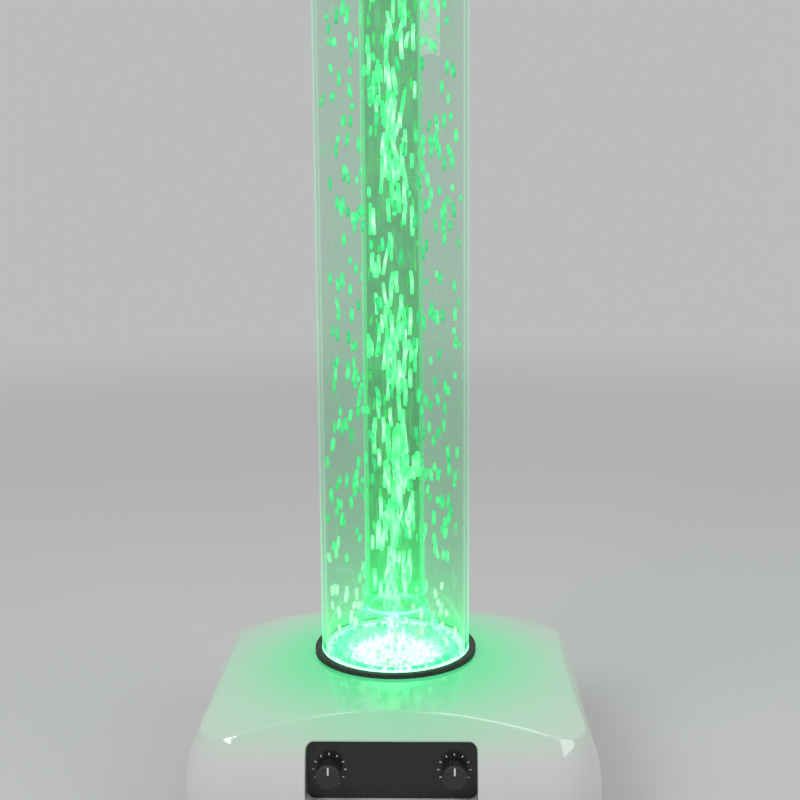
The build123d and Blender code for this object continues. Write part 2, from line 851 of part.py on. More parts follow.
def make_pot_nuts():
    radius = nut_across_flats / sqrt(3)
    hexagon = RegularPolygon(radius, 6) - Circle(bushing_radius + thread_clearance)
    nut = extrude(hexagon, nut_thickness)
    return group([Pos(x, panel_face_y, recess_middle_level) * Rot(90, 0, 0) * nut
                  for x in control_places.values()])


def knob_face_y():
    return panel_face_y - knob_stand_off - knob_length


def make_knob(x):
    """Fluted knob with a hollow back that covers the nut."""
    back = panel_face_y - knob_stand_off
    front = knob_face_y()
    body = bar_along_y(knob_radius, x, recess_middle_level, front, back)
    body = fillet(body.edges().group_by(Axis.Y)[0], knob_front_rounding)
    cuts = [
        bar_along_y(knob_skirt_radius, x, recess_middle_level, back - knob_skirt_depth,
                    back + cut_overrun),
        bar_along_y(pot_shaft_radius, x, recess_middle_level, shaft_end_y() - seat_gap, back),
        pointer_bar(x, 0),
    ]
    for i in range(knob_flute_count):
        angle = radians(360 * (i + 0.5) / knob_flute_count)
        cuts.append(bar_along_y(knob_flute_radius, x + knob_radius * sin(angle),
                                recess_middle_level + knob_radius * cos(angle),
                                front + knob_flute_front, back + cut_overrun))
    return body.cut(*cuts)


def pointer_bar(x, gap):
    """Straight inlay from near the knob's middle towards its rim."""
    half = pointer_width / 2 - gap
    low = recess_middle_level + pointer_start
    high = recess_middle_level + knob_radius - knob_front_rounding - gap
    front = knob_face_y()
    return block((x - half, front, low), (x + half, front + pointer_depth, high))


def make_control_board():
    half = control_board_width / 2
    height = control_board_height / 2
    return block((-half, pot_back_y, recess_middle_level - height),
                 (half, pot_back_y + board_thickness, recess_middle_level + height))


def make_board_parts():
    """Processor, two capacitors and three connectors on the back of the control board."""
    y = pot_back_y + board_thickness
    level = recess_middle_level
    chip = block((-chip_side / 2, y, level - chip_side / 2),
                 (chip_side / 2, y + chip_height, level + chip_side / 2))
    caps = [bar_along_y(capacitor_radius, side * control_board_width / 5, level, y,
                        y + capacitor_height) for side in (-1, 1)]
    sockets = []
    for x in connector_places.values():
        low = level - control_board_height / 2 + board_thickness
        sockets.append(block((x - connector_width / 2, y, low),
                             (x + connector_width / 2, y + connector_height,
                              low + connector_height)))
    return group([chip, *caps, *sockets])


# Power inlet and switch in the rear recess

def make_dc_inlet():
    floor = rear_floor_y
    body = bar_along_y(inlet_radius, inlet_x, rear_recess_level, floor - inlet_length, floor)
    flange = bar_along_y(inlet_flange_radius, inlet_x, rear_recess_level, floor,
                         floor + inlet_flange_thickness)
    mouth = floor + inlet_flange_thickness
    bore = bar_along_y(inlet_bore_radius, inlet_x, rear_recess_level, mouth - inlet_bore_depth,
                       mouth + cut_overrun)
    return join([body, flange]) - bore


def make_inlet_pin():
    start = rear_floor_y + inlet_flange_thickness - inlet_bore_depth
    return bar_along_y(inlet_pin_radius, inlet_x, rear_recess_level, start,
                       start + inlet_pin_length)


def make_inlet_nut():
    radius = (inlet_radius + inlet_nut_wall) * 2 / sqrt(3)
    hexagon = RegularPolygon(radius, 6) - Circle(inlet_radius + thread_clearance)
    place = Pos(inlet_x, rear_floor_y - shell_wall, rear_recess_level)
    return place * Rot(90, 0, 0) * extrude(hexagon, inlet_nut_thickness)


def rocker_pivot_y():
    return rear_floor_y - rocker_pivot_drop


def upright_bar(radius, x, y, half_height):
    return Pos(x, y, rear_recess_level) * Cylinder(radius, 2 * half_height)


def make_switch_body():
    half_x, half_z = switch_length / 2, switch_height / 2
    floor = rear_floor_y
    body = block((switch_x - half_x, floor - switch_body_depth, rear_recess_level - half_z),
                 (switch_x + half_x, floor, rear_recess_level + half_z))
    bezel = block(
        (switch_x - half_x - switch_bezel, floor, rear_recess_level - half_z - switch_bezel),
        (switch_x + half_x + switch_bezel, floor + switch_bezel_thickness,
         rear_recess_level + half_z + switch_bezel))
    cavity = upright_bar(rocker_radius + fit_clearance, switch_x, rocker_pivot_y(),
                         rocker_width / 2 + fit_clearance)
    hinge = upright_bar(trunnion_radius + running_clearance, switch_x, rocker_pivot_y(),
                        rocker_width / 2 + trunnion_length + running_clearance)
    return join([body, bezel]).cut(cavity, hinge)


def make_power_rocker():
    """Rocker with a shallow V across its top, drawn pressed to its on side."""
    reach = 2 * rocker_radius
    rise = reach * sin(radians(rocker_angle)) / cos(radians(rocker_angle))
    outline = make_face(Polyline(
        (-reach, -reach), (reach, -reach), (reach, rocker_top_height + rise),
        (0, rocker_top_height), (-reach, rocker_top_height + rise), close=True))
    solid = extrude(Circle(rocker_radius) & outline, rocker_width / 2, both=True)
    pins = Cylinder(trunnion_radius, rocker_width + 2 * trunnion_length)
    place = Pos(switch_x, rocker_pivot_y(), rear_recess_level)
    return place * Rot(0, 0, rocker_angle) * (solid + pins)


# Leads inside the base

def make_lead(name, points):
    """Round lead along straight runs joined by arcs as large as the shorter run allows."""
    route = [Vector(*point) for point in points]
    runs = [b - a for a, b in zip(route, route[1:])]
    radii = []
    for before, after in zip(runs, runs[1:]):
        half_turn = radians(before.get_angle(after)) / 2
        shorter = min(before.length, after.length)
        radii.append(lead_arc_share * shorter * cos(half_turn) / sin(half_turn))
    path = FilletPolyline(*route, radius=radii)
    section = Plane(origin=route[0], z_dir=runs[0]) * Circle(lead_radius)
    lead = sweep(section, path=path)
    print(name, "arc radii", [round(radius, 1) for radius in radii],
          "volume over section times length",
          round(lead.volume / (pi * lead_radius**2 * path.length), 4))
    return lead


def offsets_from(place, offsets):
    """Points at these offsets from the end of a lead."""
    return [tuple(p + d for p, d in zip(place, offset)) for offset in offsets]


def connector_end(name):
    return connector_places[name], connector_y, connector_level


def switch_end(side):
    """Terminal on the back of the switch, towards -X or +X of its middle."""
    return switch_x + side * switch_length / 4, rear_floor_y - switch_body_depth, rear_recess_level


def make_inlet_lead():
    """From the power inlet's tail to the switch."""
    start = (inlet_x, rear_floor_y - inlet_length, rear_recess_level)
    end = switch_end(-1)
    return make_lead("inlet_lead", [start, *offsets_from(start, inlet_lead_from_inlet),
                                    *offsets_from(end, inlet_lead_to_switch), end])


def make_power_lead():
    """From the switch, along the base plate beside the blower, up to the control board."""
    start, end = switch_end(1), connector_end("power")
    middle = [(wide_share * base_width / 2, deep_share * base_depth / 2, level)
              for wide_share, deep_share, level in power_lead_shares]
    return make_lead("power_lead", [start, *offsets_from(start, power_lead_from_switch), *middle,
                                    *offsets_from(end, power_lead_to_board), end])


def make_fan_lead():
    """From the motor's side of the blower to the control board."""
    start, end = (-blower_half - blower_wall, impeller_y, impeller_level), connector_end("fan")
    return make_lead("fan_lead", [start, *offsets_from(start, fan_lead_from_motor),
                                  *offsets_from(end, fan_lead_to_board), end])


def make_led_lead():
    """From under the light board down to the control board."""
    start, end = (*led_lead_start, ledge_level), connector_end("led")
    return make_lead("led_lead", [start, *offsets_from(start, led_lead_from_lamps),
                                  *offsets_from(end, led_lead_to_board), end])


# Cap

def cap_screw_bars(radius, start=tube_bore - cut_overrun, end=tube_radius + 2 * cut_overrun):
    level = tube_top - cap_screw_level_drop
    return around(bar_along_x(radius, 0, level, start, end), cap_screw_count, 90)


def make_top_cap():
    outer = tube_radius + fit_clearance + cap_wall
    body = disc(outer, total_height - cap_skirt_length, total_height)
    body = fillet(body.edges().group_by(Axis.Z)[-1], cap_rounding)
    slot = SlotOverall(cap_vent_outer - cap_vent_inner, cap_vent_width)
    middle = (cap_vent_outer + cap_vent_inner) / 2
    vent = Pos(middle, 0, cap_underside - cut_overrun) * extrude(
        slot, cap_plate_thickness + 2 * cut_overrun)
    head = screw_head_radius + fit_clearance
    cuts = [
        disc(tube_radius + fit_clearance, total_height - cap_skirt_length - cut_overrun,
             cap_underside),
        disc(screw_radius + fit_clearance, cap_underside, total_height),
        disc(head, total_height - screw_head_height - seat_gap, total_height + cut_overrun),
        *around(vent, cap_vent_count),
        *cap_screw_bars(cap_screw_radius + fit_clearance),
    ]
    return body.cut(*cuts)


def make_cap_mesh():
    return perforated(tube_radius - seat_gap, mesh_margin, mesh_pitch, mesh_hole_radius,
                      tube_top, cap_underside, screw_radius + fit_clearance)


def make_bead_deflector():
    """Shallow cone, point down, that turns the rising beads out over the riser's edge."""
    low = tube_top - deflector_neck_length
    hole = screw_radius + thread_clearance
    body = turned([
        (0, low - deflector_depth), (deflector_radius, low - deflector_lip),
        (deflector_radius, low), (deflector_neck_radius, low),
        (deflector_neck_radius, tube_top), (0, tube_top),
    ])
    return body - disc(hole, tube_top - screw_depth, tube_top + cut_overrun)


def make_deflector_screw():
    under_head = total_height - screw_head_height - seat_gap
    length = under_head - tube_top + screw_depth - seat_gap
    one = screw(screw_radius, screw_head_radius, screw_head_height, length)
    return Pos(0, 0, under_head) * Rot(180, 0, 0) * one


def make_cap_screws():
    outer = tube_radius + fit_clearance + cap_wall
    one = screw(cap_screw_radius, cap_screw_head_radius, cap_screw_head_height,
                outer - tube_bore)
    level = tube_top - cap_screw_level_drop
    placed = Pos(outer, 0, level) * Rot(0, -90, 0) * one
    return group(around(placed, cap_screw_count, 90))


# Foam beads

def spread(index, step):
    """Share between 0 and 1 that fills its range evenly as the index grows."""
    return (index * step) % 1.0


def bead(radius, angle, level):
    turn = radians(angle)
    return Pos(radius * cos(turn), radius * sin(turn), level) * Sphere(bead_radius)


def make_hopper_beads():
    inner = throat_radius + 2 * bead_radius
    outer = hopper_cone_radius - 2 * bead_radius
    lift = (bead_radius + bead_gap) / cos(cone_slope)
    beads = []
    for i in range(hopper_bead_count):
        share = (i + 0.5) / hopper_bead_count
        radius = sqrt(inner**2 + share * (outer**2 - inner**2))
        floor = throat_level + (radius - throat_radius) * sin(cone_slope) / cos(cone_slope)
        beads.append(bead(radius, i * golden_angle, floor + lift))
    return group(beads)


def column_beads(count, inner, outer, low, high):
    """Beads spread evenly through an upright ring-shaped space."""
    beads = []
    for i in range(count):
        share = spread(i + 1, 1 / sqrt(2))
        radius = sqrt(inner**2 + share * (outer**2 - inner**2))
        level = low + (high - low) * (i + 0.5) / count
        beads.append(bead(radius, i * golden_angle, level))
    return group(beads)


def make_rising_beads():
    outer = riser_bore - bead_radius - bead_gap
    return column_beads(rising_bead_count, 0, outer, riser_foot_level + bead_radius,
                        riser_top - bead_radius)


def make_falling_beads():
    inner = hub_outer + bead_radius + bead_gap
    outer = tube_bore - bead_radius - bead_gap
    low = riser_foot_level + hub_sleeve_length + bead_radius
    high = riser_top - spider_drop - hub_sleeve_length - bead_radius
    return column_beads(falling_bead_count, inner, outer, low, high)


def all_parts():
    outside, inside = base_bodies()
    parts = {
        "base_shell": make_base_shell(outside, inside),
        "tube_seal": make_tube_seal(outside, inside),
        "tube_socket": make_tube_socket(),
        "socket_screws": make_socket_screws(),
        "bead_hopper": make_bead_hopper(),
        "led_board": make_led_board(),
        "leds": make_leds(),
        "outer_tube": make_outer_tube(),
        "riser_tube": make_riser_tube(),
        "riser_stand": make_riser_stand(),
        "riser_spider": make_riser_spider(),
        "air_nozzle": make_air_nozzle(),
        "nozzle_screen": make_nozzle_screen(),
        "blower_housing": make_blower_housing(),
        "blower_cover": make_blower_cover(),
        "blower_screws": make_blower_screws(),
        "fan_motor": make_fan_motor(),
        "fan_bearings": make_fan_bearings(),
        "fan_shaft": make_fan_shaft(),
        "impeller": make_impeller(),
        "base_plate": make_base_plate(),
        "base_screws": make_base_screws(),
        "rubber_feet": make_rubber_feet(),
        "control_panel": make_control_panel(),
        "pot_nuts": make_pot_nuts(),
        "control_board": make_control_board(),
        "board_parts": make_board_parts(),
        "dc_inlet": make_dc_inlet(),
        "inlet_pin": make_inlet_pin(),
        "inlet_nut": make_inlet_nut(),
        "switch_body": make_switch_body(),
        "power_rocker": make_power_rocker(),
        "inlet_lead": make_inlet_lead(),
        "power_lead": make_power_lead(),
        "fan_lead": make_fan_lead(),
        "led_lead": make_led_lead(),
        "top_cap": make_top_cap(),
        "cap_mesh": make_cap_mesh(),
        "cap_screws": make_cap_screws(),
        "bead_deflector": make_bead_deflector(),
        "deflector_screw": make_deflector_screw(),
        "hopper_beads": make_hopper_beads(),
        "rising_beads": make_rising_beads(),
        "falling_beads": make_falling_beads(),
    }
    for name, x in control_places.items():
        parts[name + "_pot"] = make_pot(x)
        parts[name + "_shaft"] = make_pot_shaft(x)
        parts[name + "_knob"] = make_knob(x)
        parts[name + "_pointer"] = pointer_bar(x, seat_gap)
    return parts


os.makedirs("parts", exist_ok=True)
for part_name, part in all_parts().items():
    export_step(part, "parts/" + part_name + ".step")
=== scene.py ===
# %% [markdown]
# A waterless bubble tube, dressed for a studio.
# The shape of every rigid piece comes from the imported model, which is loaded first and never
# moved. This lesson gives each piece its finish, builds the glowing beads in flight, and sets
# up a pale studio with the camera where the photograph was taken from.
# All lengths are metres, +Z is up, and the front of the lamp faces -Y.

import random
from math import cos, degrees, hypot, pi, radians, sin, sqrt

import bpy
from mathutils import Matrix, Vector


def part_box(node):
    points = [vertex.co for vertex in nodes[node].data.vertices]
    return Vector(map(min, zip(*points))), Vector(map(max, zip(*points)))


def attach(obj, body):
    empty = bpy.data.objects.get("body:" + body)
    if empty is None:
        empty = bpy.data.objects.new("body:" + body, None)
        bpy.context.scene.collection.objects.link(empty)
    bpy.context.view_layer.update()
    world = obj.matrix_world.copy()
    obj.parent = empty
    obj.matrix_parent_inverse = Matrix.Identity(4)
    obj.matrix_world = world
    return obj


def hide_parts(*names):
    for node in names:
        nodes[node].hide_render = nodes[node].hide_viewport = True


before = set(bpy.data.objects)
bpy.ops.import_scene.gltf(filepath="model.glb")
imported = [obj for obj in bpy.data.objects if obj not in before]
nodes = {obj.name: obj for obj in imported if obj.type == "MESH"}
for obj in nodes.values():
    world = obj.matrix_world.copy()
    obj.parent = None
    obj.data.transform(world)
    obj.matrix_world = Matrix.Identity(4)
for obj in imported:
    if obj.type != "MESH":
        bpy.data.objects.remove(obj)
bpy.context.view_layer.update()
mm = 0.001
print("pieces in the frame:", len(nodes))

# %% [markdown]
# The glowing beads follow the tubes, so the few sizes that they need are measured on the frame.
# They could be typed in, but measuring keeps this script right if a tube ever changes size. A
# tube's bore is the smallest distance from its vertices to the axis.

# %% Measure the tubes
def bore(name):
    """Inner radius of an upright tube."""
    return min(hypot(v.co.x, v.co.y) for v in nodes[name].data.vertices)


def top(name):
    """Highest level of a piece."""
    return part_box(name)[1].z


def bottom(name):
    """Lowest level of a piece."""
    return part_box(name)[0].z


def reach(name):
    """Outer radius of an upright round piece."""
    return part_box(name)[1].x


tube_radius = reach("outer_tube")
tube_bore = bore("outer_tube")
riser_radius = reach("riser_tube")
riser_bore = bore("riser_tube")
riser_foot = bottom("riser_tube")
riser_top = top("riser_tube")
ring_level = top("tube_seal")
rim_level = top("bead_hopper")
print("tube bore", round(tube_bore, 4), "riser bore", round(riser_bore, 4))

# %% [markdown]
# The camera comes before the looks, because everything is judged through it. It was fitted to
# the outline of the base, the ring round the tube and the two controls: the focal length in
# pixels, the distance, the height and the downward tilt together give the same ellipses as the
# photograph. A small lens shift and a slight roll take up what is left.

# %% Camera
picture_side = 800
focal_pixels = 1249
sensor_side = 36.0
camera_distance = 1.036
camera_height = 0.528
camera_aside = 0.0056
camera_turn = radians(1.41)
camera_tilt = radians(8.7)
camera_roll = radians(-0.43)
camera_shift = -0.04


def make_camera():
    """Camera that stands in front of the lamp and looks slightly down at it."""
    data = bpy.data.cameras.new("photo_camera")
    data.sensor_width = sensor_side
    data.lens = focal_pixels / picture_side * sensor_side
    data.shift_y = camera_shift
    camera = bpy.data.objects.new("photo_camera", data)
    bpy.context.scene.collection.objects.link(camera)
    turn = Matrix.Rotation(camera_turn, 4, "Z")
    place = turn @ Vector((camera_aside, -camera_distance, camera_height))
    tilt = Matrix.Rotation(pi / 2 - camera_tilt, 4, "X")
    roll = Matrix.Rotation(camera_roll, 4, "Z")
    camera.matrix_world = Matrix.Translation(place) @ turn @ tilt @ roll
    bpy.context.scene.camera = camera
    return camera


photo_camera = make_camera()
print("camera at", [round(x, 3) for x in photo_camera.matrix_world.translation])

# %% [markdown]
# Materials are graphs of nodes, and a long chain of nodes is hard to read in code. A small class
# wraps one output socket, so that sums of sockets read as plain expressions. Another holds one
# material, and one method of it makes any node from its type, its settings and its inputs.

# %% Shader sums
class Wire:
    """One output socket that takes part in sums of values."""

    def __init__(self, socket):
        self.socket = socket

    def maths(self, operation, *values):
        """Math node in this socket's own tree."""
        return add_node(self.socket.id_data, "ShaderNodeMath", {"operation": operation},
                        dict(enumerate(values)))

    def __add__(self, other):
        return self.maths("ADD", self, other)

    def __sub__(self, other):
        return self.maths("SUBTRACT", self, other)

    def __rsub__(self, other):
        return self.maths("SUBTRACT", other, self)

    def __mul__(self, other):
        return self.maths("MULTIPLY", self, other)

    def __pow__(self, other):
        return self.maths("POWER", self, other)

    __radd__ = __add__
    __rmul__ = __mul__


def add_node(tree, kind, settings=None, inputs=None, output=0):
    """Any node: its settings first, then the values or links of its sockets."""
    made = tree.nodes.new(kind)
    settings = dict(settings or {})
    stops = settings.pop("stops", ())
    for name, value in settings.items():
        setattr(made, name, value)
    if stops:
        row = made.color_ramp.elements
        row.remove(row[-1])
        row[0].position = stops[0][0]
        row[0].color = (*stops[0][1], 1)
        for place, colour in stops[1:]:
            row.new(place).color = (*colour, 1)
    for name, value in (inputs or {}).items():
        if isinstance(value, Wire):
            tree.links.new(value.socket, made.inputs[name])
        else:
            made.inputs[name].default_value = value
    return Wire(made.outputs[output]) if made.outputs else None


class Finish:
    """One material whose nodes are made by name."""

    def __init__(self, name):
        self.material = bpy.data.materials.new(name)
        self.material.use_nodes = True
        self.tree = self.material.node_tree
        self.tree.nodes.clear()

    def node(self, kind, settings=None, inputs=None, output=0):
        """Any node in this material."""
        return add_node(self.tree, kind, settings, inputs, output)

    def place(self):
        """Position on the piece, in the lamp's own frame."""
        return self.node("ShaderNodeTexCoord", output="Object")

    def axes(self):
        """X, Y and Z of that position, as three values."""
        parts = self.node("ShaderNodeSeparateXYZ", inputs={0: self.place()})
        return [Wire(socket) for socket in parts.socket.node.outputs]

    def level(self):
        """Height above the surface that the lamp stands on."""
        return self.axes()[2]

    def from_axis(self):
        """Distance from the upright axis of the tubes."""
        x, y = self.axes()[:2]
        return (x * x + y * y) ** 0.5

    def noise(self, size, detail=2.0, roughness=0.5, stretch=(1, 1, 1)):
        """Noise from 0 to 1 with features about this many metres across."""
        where = self.node("ShaderNodeMapping", inputs={"Vector": self.place(), "Scale": stretch})
        return self.node("ShaderNodeTexNoise", inputs={
            "Vector": where, "Scale": 1 / size, "Detail": detail, "Roughness": roughness})

    def mix(self, share, first, second):
        """Colour between two others."""
        return self.node("ShaderNodeMix", {"data_type": "RGBA"},
                         {0: share, 6: first, 7: second}, output=2)

    def ramp(self, value, *stops):
        """Colour read off stops, each a place from 0 to 1 and a colour."""
        return self.node("ShaderNodeValToRGB", {"stops": stops}, {0: value})

    def between(self, value, low, high):
        """0 at low, 1 at high, smooth between and held outside."""
        return self.node("ShaderNodeMapRange", {"interpolation_type": "SMOOTHSTEP"},
                         {"Value": value, "From Min": low, "From Max": high})

    def bump(self, height, depth):
        """Normal that leans as a height of at most this many metres does."""
        return self.node("ShaderNodeBump", inputs={"Height": height, "Distance": depth})

    def surface(self, **inputs):
        """Principled shader, with underscores for the spaces in its sockets' names."""
        named = {name.replace("_", " "): value for name, value in inputs.items()}
        return self.node("ShaderNodeBsdfPrincipled", inputs=named)

    def done(self, shader):
        """Plugs the shader in and gives the material back."""
        self.node("ShaderNodeOutputMaterial", inputs={"Surface": shader})
        return self.material


def rgb(red, green, blue):
    """Opaque colour, from linear values."""
    return red, green, blue, 1.0


no_light = rgb(0, 0, 0)
print("helpers for materials:", Wire.__name__, Finish.__name__)

# %% [markdown]
# The base and the cap are moulded in white plastic, glossy enough to mirror the streaks in front
# of the tube. A flat white would look like paint, so a clear coat gives the mirror image, the
# gloss wanders a little, the skin has the faint orange peel of a moulding, and the lower skirt
# has picked up some dust. The green light from the tube on the top of the base is painted on.
# It is a painted glow, as an emission, strongest at the ring and fading towards the corners, and
# painted green light in the paint, which is mixed towards green by the same share. The cap gets
# a faint, even share of the same painted light.

# %% White moulding
moulding_white = rgb(0.66, 0.67, 0.655)
moulding_shade = rgb(0.61, 0.62, 0.605)
moulding_dust = rgb(0.52, 0.50, 0.46)
painted_green_light = rgb(0.05, 0.36, 0.16)
painted_glow_green = rgb(0.0, 0.44, 0.13)
cloud_size = 90 * mm
skin_grain = 0.9 * mm
dust_speck = 2.5 * mm
dust_level = 10 * mm
dust_end = 60 * mm
peel_size = 8 * mm
peel_depth = 0.004 * mm
peel_share = 0.8
lit_start = ring_level - 45 * mm
lit_full = ring_level - 20 * mm


def white_moulding(name, glow_reach, glow_at_ring, glow_left):
    """The painted glow and painted green light are a share at the ring, and another that is left
    past its reach.
    """
    finish = Finish(name)
    level = finish.level()
    cloud = finish.noise(cloud_size, 3)
    grain = finish.noise(skin_grain)
    specks = finish.between(finish.noise(dust_speck, 4, 0.7), 0.52, 0.75)
    dust = specks * (1 - finish.between(level, dust_level, dust_end))
    paint = finish.mix(cloud, moulding_white, moulding_shade)
    paint = finish.mix(dust * 0.35, paint, moulding_dust)
    # Painted light: this share paints the tube's green light into both the paint and the emission,
    # only on the top.
    fade = 1 - finish.between(finish.from_axis(), tube_radius, tube_radius + glow_reach)
    share = fade * fade * (glow_at_ring - glow_left) + glow_left
    share = share * finish.between(level, lit_start, lit_full)
    relief = grain * (1 - peel_share) + finish.noise(peel_size, 1) * peel_share
    return finish.done(finish.surface(
        Base_Color=finish.mix(share, paint, painted_green_light), IOR=1.5,
        Roughness=cloud * 0.03 + grain * 0.02 + 0.03 + dust * 0.4,
        Coat_Weight=0.7, Coat_Roughness=0.03, Coat_IOR=1.7,
        Normal=finish.bump(relief, peel_depth),
        Emission_Color=finish.mix(share, no_light, painted_glow_green), Emission_Strength=1.0))


base_white = white_moulding("base_white", 150 * mm, 0.88, 0.20)
# The cap gets only a faint, even share of the same painted green light.
cap_white = white_moulding("cap_white", 30 * mm, 0.07, 0.07)
print("white mouldings made")

# %% [markdown]
# Both tubes are clear acrylic. Real glass shaders bend what is behind them, and here they do so
# for the eye, but a lamp's light would then never reach the beads inside. So shadow rays take a
# plain see-through shader instead. The light that the acrylic pipes from its foot is painted on.
# Its slight green tint deepens towards the foot, partly the plastic's own and partly painted green
# light, and a painted glow, as an emission, lights its cut ends, its foot and its two sides, where
# the eye looks along the wall and through the most plastic. Layer Weight finds those sides: it
# grows as the wall turns away.

# %% Clear acrylic
acrylic_index = 1.49
shadow_tint = rgb(0.90, 0.99, 0.93)
side_line = 1.9 * mm
side_blend = (0.06, 0.14)
foot_line = 3.0 * mm
foot_share = 0.8
tint_rise = 420 * mm
haze_rise = 200 * mm
scuff_size = 0.7 * mm
scuff_stretch = (1, 1, 0.08)


def clear_acrylic(name, foot, radius, tints, glows):
    """Tints at the foot and at the top, and painted glows of the cut ends, the sides and the haze.
    """
    finish = Finish(name)
    level = finish.level()
    foot_tint, top_tint = tints
    painted_end_glow, painted_side_glow, painted_haze = glows
    # The tint is greener towards the foot: partly the plastic's own tint, partly painted green
    # light.
    rise = finish.between(level, foot, foot + tint_rise)
    normal = finish.node("ShaderNodeNewGeometry", output="True Normal")
    facing = finish.node("ShaderNodeSeparateXYZ", inputs={0: normal}, output=2)
    cut_end = finish.between(facing.maths("ABSOLUTE", facing), 0.7, 0.95)
    at_foot = 1 - finish.between(level, foot + foot_line / 2, foot + foot_line)
    lit_end = cut_end.maths("MAXIMUM", cut_end, at_foot * foot_share)
    turned_away = finish.node("ShaderNodeLayerWeight", inputs={"Blend": 0.5}, output="Facing")
    line_start = 1 - sqrt(1 - (1 - side_line / radius) ** 2)
    before, after = side_blend
    side = finish.between(turned_away, line_start - before, line_start + after)
    low_down = 1 - finish.between(level, foot, foot + haze_rise)
    scuffs = finish.noise(scuff_size, 4, 0.75, scuff_stretch)
    # Painted glow: a haze low down and lines along the two sides, as emission.
    glow = finish.mix(low_down ** 3, no_light, painted_haze)
    glow = finish.mix(side * (low_down * 0.4 + 0.6), glow, painted_side_glow)
    clear = finish.surface(
        Base_Color=finish.mix(rise, foot_tint, top_tint),
        Roughness=finish.between(scuffs, 0.66, 0.8) * 0.05 + 0.004,
        Transmission_Weight=1.0, IOR=acrylic_index, Emission_Strength=1.0,
        Emission_Color=finish.mix(lit_end, glow, painted_end_glow))
    passing = finish.node("ShaderNodeBsdfTransparent", inputs={"Color": shadow_tint})
    shadow = finish.node("ShaderNodeLightPath", output="Is Shadow Ray")
    return finish.done(finish.node("ShaderNodeMixShader", inputs={0: shadow, 1: clear, 2: passing}))


# The last three colours of each call are the painted glows of the cut ends, the sides and the haze.
outer_acrylic = clear_acrylic(
    "outer_acrylic", rim_level, tube_radius, (rgb(0.66, 0.95, 0.76), rgb(0.84, 0.98, 0.89)),
    (rgb(0.25, 1.0, 0.45), rgb(0.03, 0.50, 0.20), rgb(0.0, 0.07, 0.022)))
riser_acrylic = clear_acrylic(
    "riser_acrylic", riser_foot, riser_radius, (rgb(0.48, 0.92, 0.62), rgb(0.58, 0.93, 0.69)),
    (rgb(0.45, 1.0, 0.60), rgb(0.04, 0.55, 0.22), rgb(0.0, 0.08, 0.025)))
fitting_acrylic = clear_acrylic(
    "fitting_acrylic", riser_foot, riser_radius, (rgb(0.70, 0.96, 0.80), rgb(0.82, 0.98, 0.88)),
    (rgb(0.03, 0.34, 0.13), rgb(0.02, 0.25, 0.09), rgb(0.0, 0.05, 0.015)))
print("acrylic made")

# %% [markdown]
# The floor of the tube is a funnel of milky plastic, lit from below by a ring of diodes. It is
# white-hot round the nozzle, where the beads crowd, sparkles green further out, and its rim
# carries a thin bright line where the light reaches the wall of the tube. A ramp over the
# distance from the axis holds these zones. The nozzle in its middle is lit in the same way, but
# only near its top.

# %% Lit funnel
hot_radius = 18 * mm
light_fade = 5 * mm
sparkle_size = 3.0 * mm
sparkle_shade = rgb(0.03, 0.34, 0.11)
milky_green = rgb(0.30, 0.62, 0.42)
light_zones = ((0.0, (1.0, 1.0, 0.96)), (0.32, (0.86, 1.0, 0.74)), (0.62, (0.17, 0.70, 0.25)),
               (0.92, (0.07, 0.50, 0.16)), (0.97, (0.42, 1.0, 0.46)))


def lit_funnel(name, lit_level):
    """Milky plastic that glows from a level upwards."""
    finish = Finish(name)
    lit = finish.between(finish.level(), lit_level - light_fade, lit_level)
    out = finish.between(finish.from_axis(), hot_radius, tube_bore)
    speckle = finish.noise(sparkle_size, 3, 0.6)
    dim = finish.between(speckle, 0.35, 0.7) * finish.between(out, 0.25, 0.6) * 0.55
    glow = finish.mix(dim, finish.ramp(out, *light_zones), sparkle_shade)
    return finish.done(finish.surface(
        Base_Color=milky_green, Roughness=0.35 + speckle * 0.2,
        Normal=finish.bump(finish.noise(1.2 * mm), 0.02 * mm),
        Emission_Color=finish.mix(lit, no_light, glow), Emission_Strength=2.0))


funnel_glow = lit_funnel("funnel_glow", bottom("bead_hopper"))
nozzle_glow = lit_funnel("nozzle_glow", bottom("bead_hopper") + 8 * mm)
print("funnel and nozzle made")

# %% [markdown]
# Dark plastic shows dust and wear before anything else does. One function makes every dark
# moulding: the gloss and the grain differ from the glossy panel to the knobs and the blower, and
# wear lightens only the roughest specks. Rubber is the same idea with no gloss and more dust.

# %% Dark plastic and rubber
wear_size = 1.6 * mm
rubber_grain = 0.5 * mm
rubber_dust = rgb(0.16, 0.16, 0.15)


def dark_plastic(name, colour, gloss_roughness, grain_size, grain_depth):
    """Dark moulding, whose grain sets how fine and how deep its texture is."""
    finish = Finish(name)
    cloud = finish.noise(25 * mm, 3)
    grain = finish.noise(grain_size, 2, 0.6)
    worn = finish.between(finish.noise(wear_size, 4, 0.75), 0.62, 0.8)
    paler = rgb(*(min(1.0, part * 2.2 + 0.02) for part in colour[:3]))
    paint = finish.mix(worn * 0.35 + cloud * 0.15, colour, paler)
    return finish.done(finish.surface(
        Base_Color=paint, Roughness=cloud * 0.08 + worn * 0.12 + gloss_roughness,
        IOR=1.5, Normal=finish.bump(grain, grain_depth)))


def rubber(name, colour):
    """Matt and dusty."""
    finish = Finish(name)
    dust = finish.between(finish.noise(3 * mm, 5, 0.75), 0.45, 0.75)
    return finish.done(finish.surface(
        Base_Color=finish.mix(dust * 0.25, colour, rubber_dust), Roughness=dust * 0.15 + 0.62,
        Normal=finish.bump(finish.noise(rubber_grain), 0.03 * mm)))


